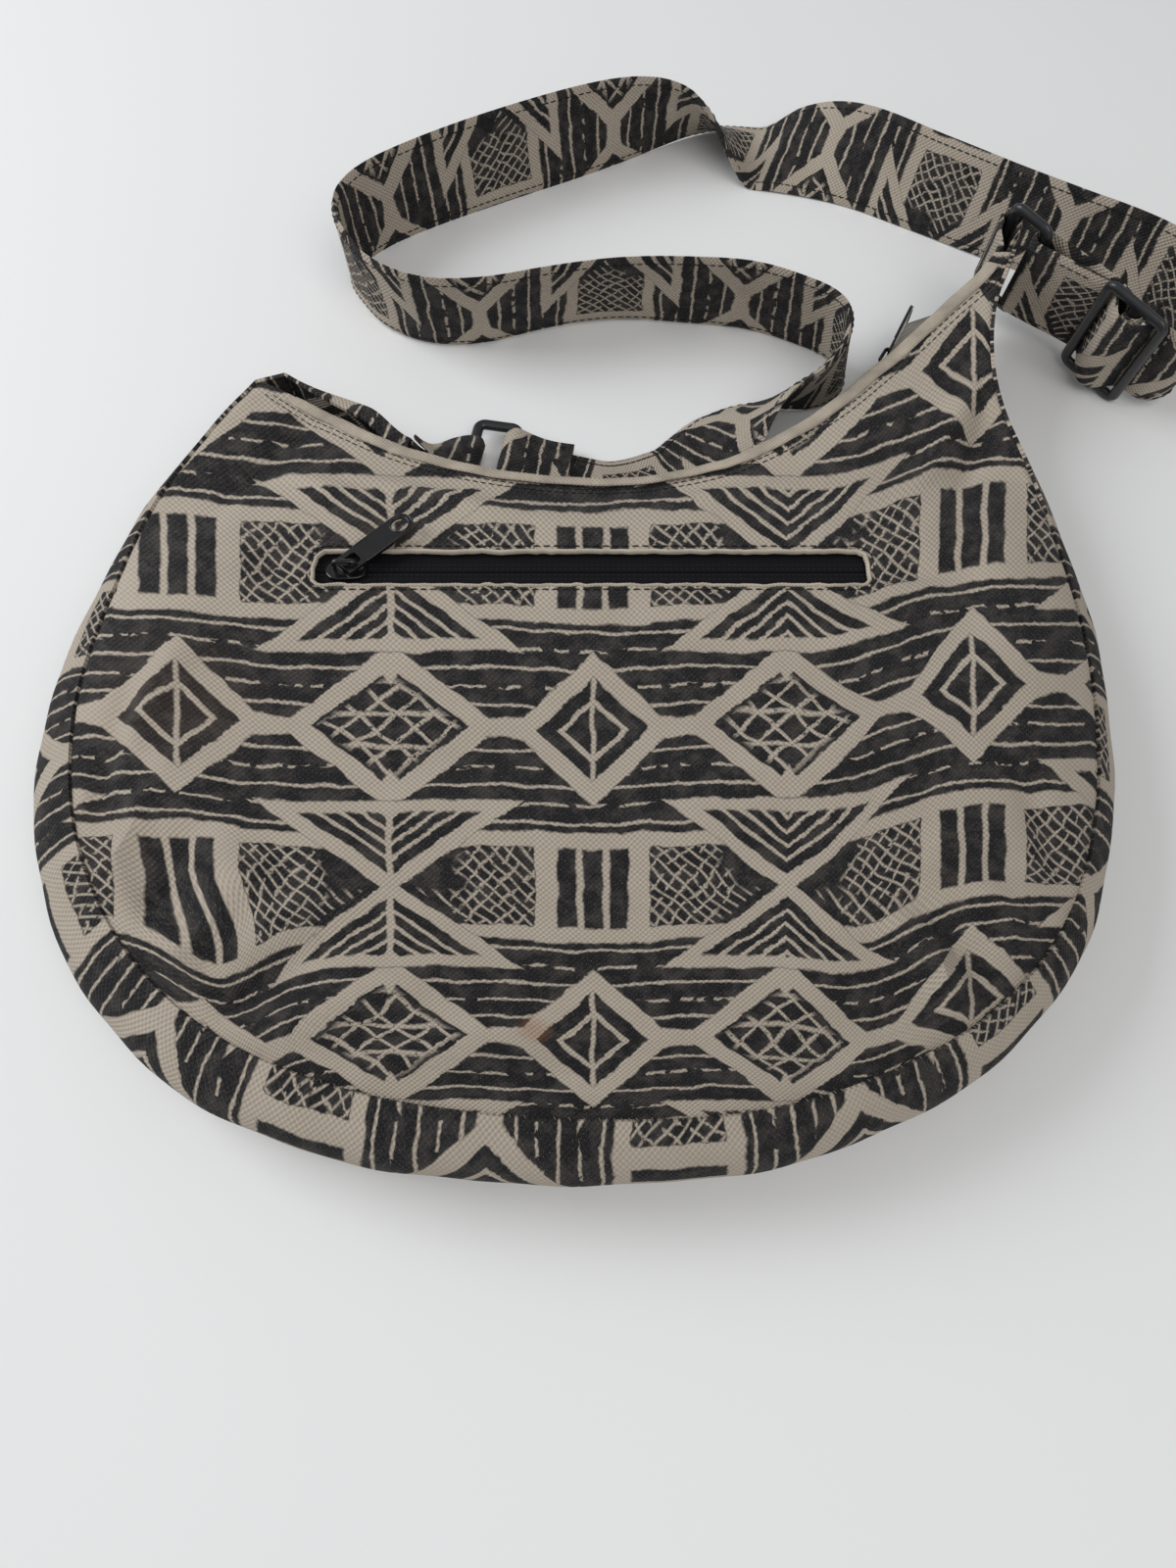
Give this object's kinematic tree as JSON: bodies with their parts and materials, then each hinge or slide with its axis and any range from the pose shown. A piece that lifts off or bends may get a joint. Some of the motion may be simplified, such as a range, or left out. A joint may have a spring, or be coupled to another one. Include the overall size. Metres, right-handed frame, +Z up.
{
  "type": "crossbody satchel",
  "caption": "Crescent crossbody satchel in geometric print canvas, with a curved zip mouth, a front zip pocket and a webbing strap on rings with a slide adjuster.",
  "frame": {"origin": "middle of the flat part of the back panel, on its outer face", "axes": "+Z up from the table through the front panel, +Y towards the mouth, +X to the right as seen from the bottom seam"},
  "size_m": [0.4189, 0.4507, 0.0541],
  "materials": {
    "adjuster": "satin black plastic",
    "back_facing": "woven cotton canvas, printed",
    "back_panel": "woven cotton canvas, printed",
    "front_facing": "woven cotton canvas, printed",
    "front_panel": "woven cotton canvas, printed",
    "gusset": "woven cotton canvas, printed",
    "lining": "plain dark lining cloth",
    "mouth_coil_back": "moulded coil teeth",
    "mouth_coil_front": "moulded coil teeth",
    "mouth_pull": "black enamel over cast zinc",
    "mouth_slider": "black enamel over cast zinc",
    "mouth_stop_left": "black enamel over cast zinc",
    "mouth_stop_right": "black enamel over cast zinc",
    "mouth_tape_back": "woven zip tape",
    "mouth_tape_front": "woven zip tape",
    "pocket_coil_lower": "moulded coil teeth",
    "pocket_coil_upper": "moulded coil teeth",
    "pocket_pouch_back": "plain dark lining cloth",
    "pocket_pouch_front": "plain dark lining cloth",
    "pocket_pull": "black enamel over cast zinc",
    "pocket_slider": "black enamel over cast zinc",
    "pocket_stop_left": "black enamel over cast zinc",
    "pocket_stop_right": "black enamel over cast zinc",
    "pocket_tape_lower": "woven zip tape",
    "pocket_tape_upper": "woven zip tape",
    "pocket_welt": "woven cotton canvas, printed",
    "ring_left": "satin black plastic",
    "ring_right": "satin black plastic",
    "strap": "woven cotton canvas, printed",
    "tab_left": "woven cotton canvas, printed",
    "tab_right": "woven cotton canvas, printed"
  },
  "bodies": {
    "bag": {"back_facing": "back_facing", "back_panel": "back_panel", "front_facing": "front_facing", "front_panel": "front_panel", "gusset": "gusset", "lining": "lining", "mouth_coil_back": "mouth_coil_back", "mouth_coil_front": "mouth_coil_front", "mouth_stop_left": "mouth_stop_left", "mouth_stop_right": "mouth_stop_right", "mouth_tape_back": "mouth_tape_back", "mouth_tape_front": "mouth_tape_front", "pocket_coil_lower": "pocket_coil_lower", "pocket_coil_upper": "pocket_coil_upper", "pocket_pouch_back": "pocket_pouch_back", "pocket_pouch_front": "pocket_pouch_front", "pocket_stop_left": "pocket_stop_left", "pocket_stop_right": "pocket_stop_right", "pocket_tape_lower": "pocket_tape_lower", "pocket_tape_upper": "pocket_tape_upper", "pocket_welt": "pocket_welt", "strap": "strap", "tab_left": "tab_left", "tab_right": "tab_right"},
    "pocket_slider": {"pocket_slider": "pocket_slider"},
    "pocket_pull": {"pocket_pull": "pocket_pull"},
    "mouth_slider": {"mouth_slider": "mouth_slider"},
    "mouth_pull": {"mouth_pull": "mouth_pull"},
    "ring_left": {"ring_left": "ring_left"},
    "ring_right": {"ring_right": "ring_right"},
    "adjuster": {"adjuster": "adjuster"}
  },
  "joints": [
    {"name": "pocket_slide", "type": "slide", "parent": "bag", "child": "pocket_slider", "axis": [1, 0, 0], "range_m": [0, 0.158]},
    {"name": "pocket_pull_hinge", "type": "hinge", "parent": "pocket_slider", "child": "pocket_pull", "pos_m": [-0.0777, 0.06061, 0.04308], "axis": [0.6691, -0.7327, 0.1242], "range_deg": [0, 150]},
    {"name": "mouth_slide", "type": "hinge", "parent": "bag", "child": "mouth_slider", "pos_m": [-0.005, 0.245, 0.0155], "axis": [0, 0, -1], "range_deg": [0, 76]},
    {"name": "mouth_pull_hinge", "type": "hinge", "parent": "mouth_slider", "child": "mouth_pull", "pos_m": [0.11482, 0.17583, 0.0155], "axis": [0, 0, 1], "range_deg": [0, 35]},
    {"name": "ring_left_swivel", "type": "hinge", "parent": "bag", "child": "ring_left", "pos_m": [-0.04518, 0.13062, 0.00545], "axis": [-0.1701, -0.9854, 0], "range_deg": [-2.5, 2.5]},
    {"name": "ring_right_swivel", "type": "hinge", "parent": "bag", "child": "ring_right", "pos_m": [0.1576, 0.21521, 0.03145], "axis": [-0.014, -0.176, 0.9843], "range_deg": [-2.5, 2.5]},
    {"name": "adjuster_tilt", "type": "hinge", "parent": "bag", "child": "adjuster", "pos_m": [0.19635, 0.17342, 0.02456], "axis": [-0.014, -0.176, 0.9843], "range_deg": [-2.5, 2.5]}
  ]
}
